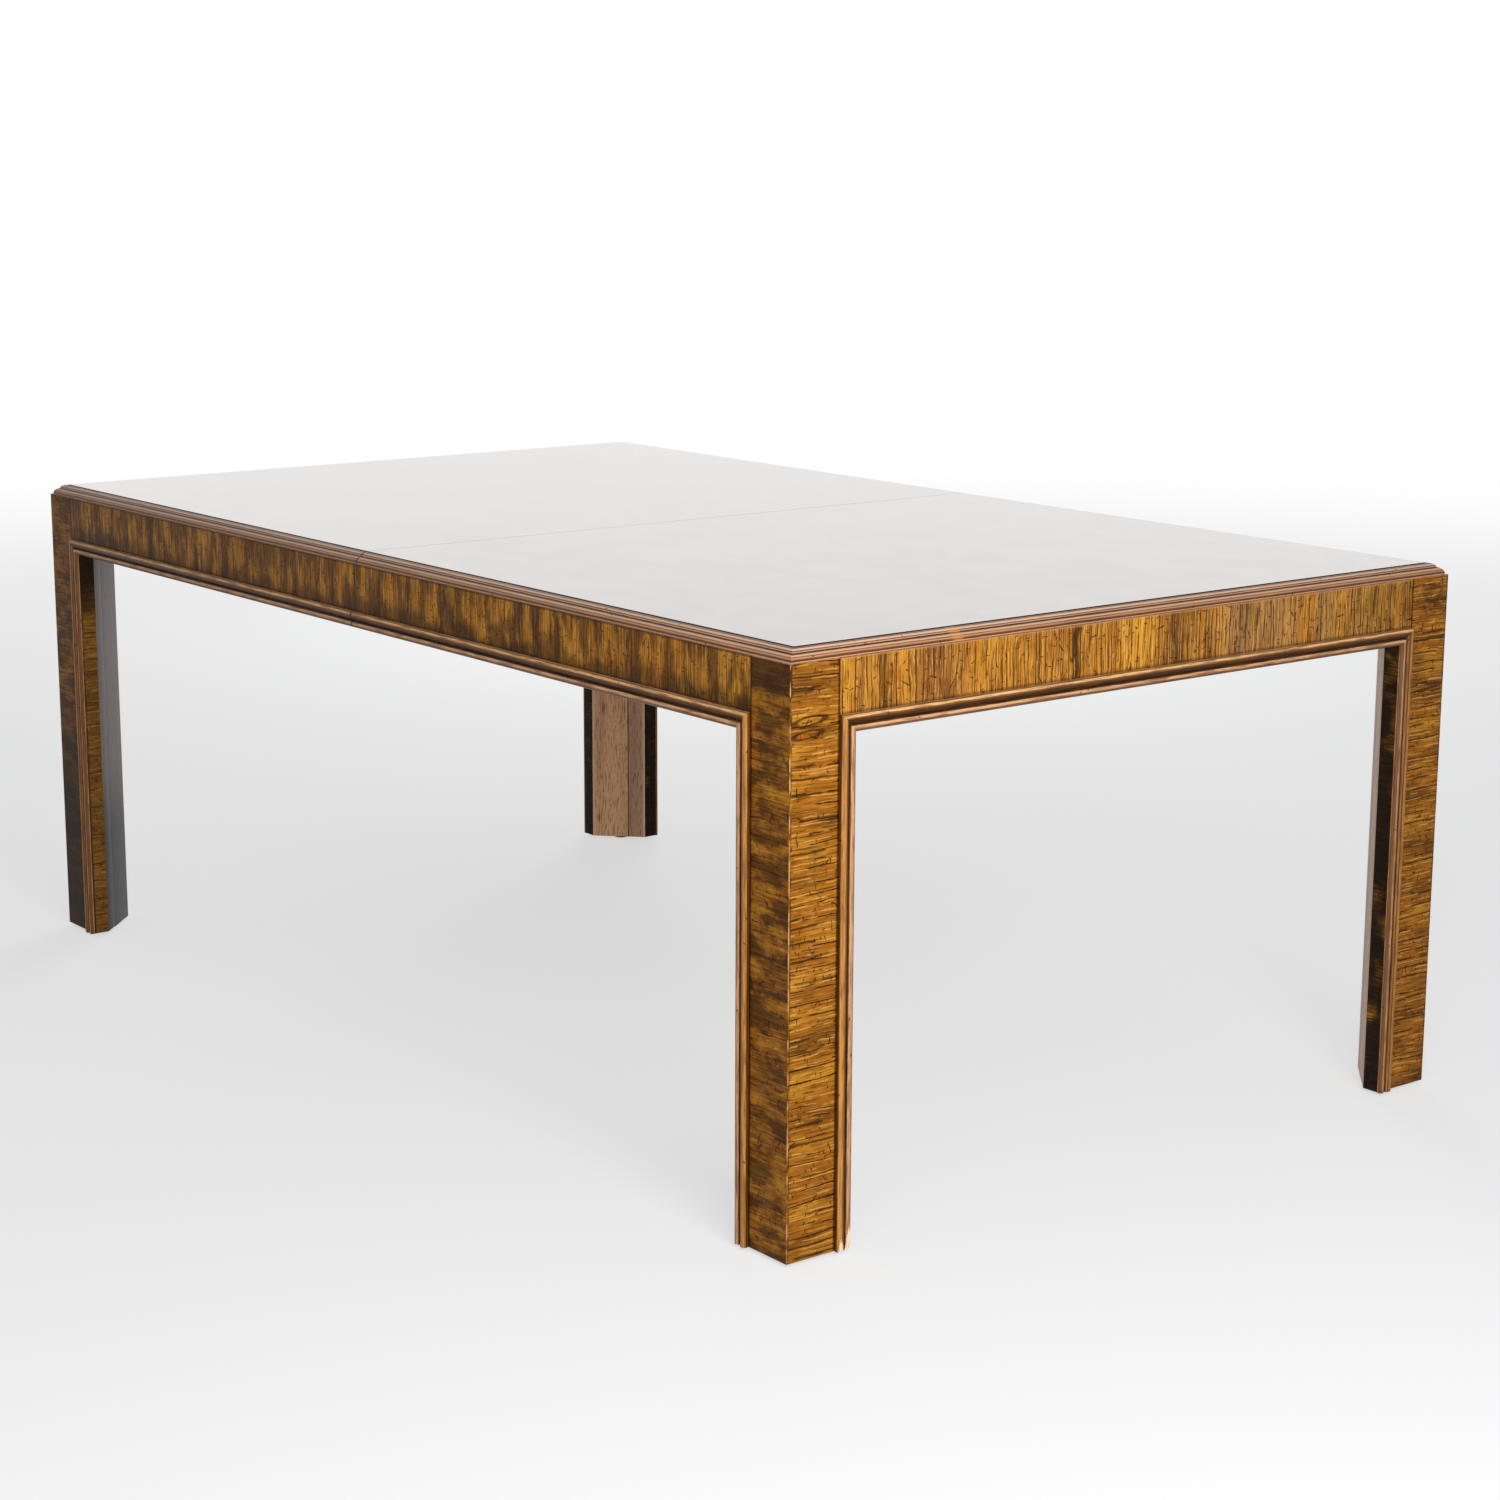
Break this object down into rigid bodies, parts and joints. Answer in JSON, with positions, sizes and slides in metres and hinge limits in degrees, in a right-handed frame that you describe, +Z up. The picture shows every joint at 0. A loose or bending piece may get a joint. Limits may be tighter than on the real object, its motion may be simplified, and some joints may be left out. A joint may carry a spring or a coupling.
{
  "type": "extension dining table",
  "caption": "Rectangular veneered dining table with flush corner legs and beaded moulding round each opening; the top and frame part across the middle on geared wooden slides.",
  "frame": {"origin": "on the floor under the middle of the closed table, level with the undersides of the glides", "axes": "+X along the table's length towards the right half, +Y across it towards the back, +Z up"},
  "size_m": [1.9442, 1.1642, 0.743],
  "materials": {
    "top_veneer": "clear lacquer over burl veneer, polished",
    "apron_veneer": "clear lacquer over cross-banded veneer, distressed",
    "leg_veneer": "clear lacquer over horizontal veneer, distressed",
    "top_moulding_wood": "satin lacquer on solid hardwood",
    "frame_moulding_wood": "satin lacquer on solid hardwood",
    "block_wood": "bare planed hardwood",
    "slide_wood": "waxed hardwood",
    "gear_nylon": "moulded nylon",
    "glide_nylon": "moulded nylon",
    "pin_brass": "turned brass",
    "fastener_steel": "zinc-plated steel",
    "lock_steel": "zinc-plated pressed steel"
  },
  "bodies": {
    "left_half": {"left_top_panel": "top_veneer", "left_end_top_moulding": "top_moulding_wood", "left_end_apron": "apron_veneer", "left_end_frame_moulding": "frame_moulding_wood", "left_front_top_moulding": "top_moulding_wood", "left_front_apron": "apron_veneer", "left_front_frame_moulding": "frame_moulding_wood", "left_front_leg": "leg_veneer", "left_front_leg_mouldings": "frame_moulding_wood", "left_back_top_moulding": "top_moulding_wood", "left_back_apron": "apron_veneer", "left_back_frame_moulding": "frame_moulding_wood", "left_back_leg": "leg_veneer", "left_back_leg_mouldings": "frame_moulding_wood", "left_leg_glides": "glide_nylon", "left_corner_braces": "block_wood", "left_brace_bolts": "fastener_steel", "left_glue_blocks": "block_wood", "left_slide_rails": "slide_wood", "left_slide_packers": "slide_wood", "left_slide_racks": "gear_nylon", "left_slide_screws": "fastener_steel", "left_slide_stop_pins": "fastener_steel", "left_lock_screws": "fastener_steel", "table_pins": "pin_brass", "lock_bases": "lock_steel", "lock_pivots": "lock_steel"},
    "right_half": {"right_top_panel": "top_veneer", "right_end_top_moulding": "top_moulding_wood", "right_end_apron": "apron_veneer", "right_end_frame_moulding": "frame_moulding_wood", "right_front_top_moulding": "top_moulding_wood", "right_front_apron": "apron_veneer", "right_front_frame_moulding": "frame_moulding_wood", "right_front_leg": "leg_veneer", "right_front_leg_mouldings": "frame_moulding_wood", "right_back_top_moulding": "top_moulding_wood", "right_back_apron": "apron_veneer", "right_back_frame_moulding": "frame_moulding_wood", "right_back_leg": "leg_veneer", "right_back_leg_mouldings": "frame_moulding_wood", "right_leg_glides": "glide_nylon", "right_corner_braces": "block_wood", "right_brace_bolts": "fastener_steel", "right_glue_blocks": "block_wood", "right_slide_rails": "slide_wood", "right_slide_packers": "slide_wood", "right_slide_racks": "gear_nylon", "right_slide_screws": "fastener_steel", "right_slide_stop_pins": "fastener_steel", "right_lock_screws": "fastener_steel", "pin_sockets": "pin_brass", "lock_catches": "lock_steel"},
    "centre_rails": {"centre_slide_rails": "slide_wood", "pinion_axles": "fastener_steel", "slide_stop_plates": "fastener_steel"},
    "back_pinion": {"back_pinion": "gear_nylon"},
    "front_pinion": {"front_pinion": "gear_nylon"},
    "back_lock_lever": {"back_lock_lever": "lock_steel"},
    "front_lock_lever": {"front_lock_lever": "lock_steel"}
  },
  "joints": [
    {"name": "table_opening", "type": "slide", "parent": "left_half", "child": "right_half", "axis": [1, 0, 0], "range_m": [0, 1.118]},
    {"name": "centre_rail_travel", "type": "slide", "parent": "left_half", "child": "centre_rails", "axis": [1, 0, 0], "range_m": [0, 0.559]},
    {"name": "back_pinion_spin", "type": "hinge", "parent": "centre_rails", "child": "back_pinion", "pos_m": [0, 0.235, 0.7012], "axis": [0, 0, 1], "range_deg": [0, 3051]},
    {"name": "front_pinion_spin", "type": "hinge", "parent": "centre_rails", "child": "front_pinion", "pos_m": [0, -0.235, 0.7012], "axis": [0, 0, -1], "range_deg": [0, 3051]},
    {"name": "back_lock_swing", "type": "hinge", "parent": "left_half", "child": "back_lock_lever", "pos_m": [-0.0252, 0.4025, 0.7229], "axis": [0, 0, 1], "range_deg": [0, 90]},
    {"name": "front_lock_swing", "type": "hinge", "parent": "left_half", "child": "front_lock_lever", "pos_m": [-0.0252, -0.4025, 0.7229], "axis": [0, 0, -1], "range_deg": [0, 90]}
  ],
  "couplings": [
    {"joint": "centre_rail_travel", "follows": "table_opening", "ratio": 0.5},
    {"joint": "back_pinion_spin", "follows": "table_opening", "rad_per_m": 47.619},
    {"joint": "front_pinion_spin", "follows": "table_opening", "rad_per_m": 47.619}
  ]
}
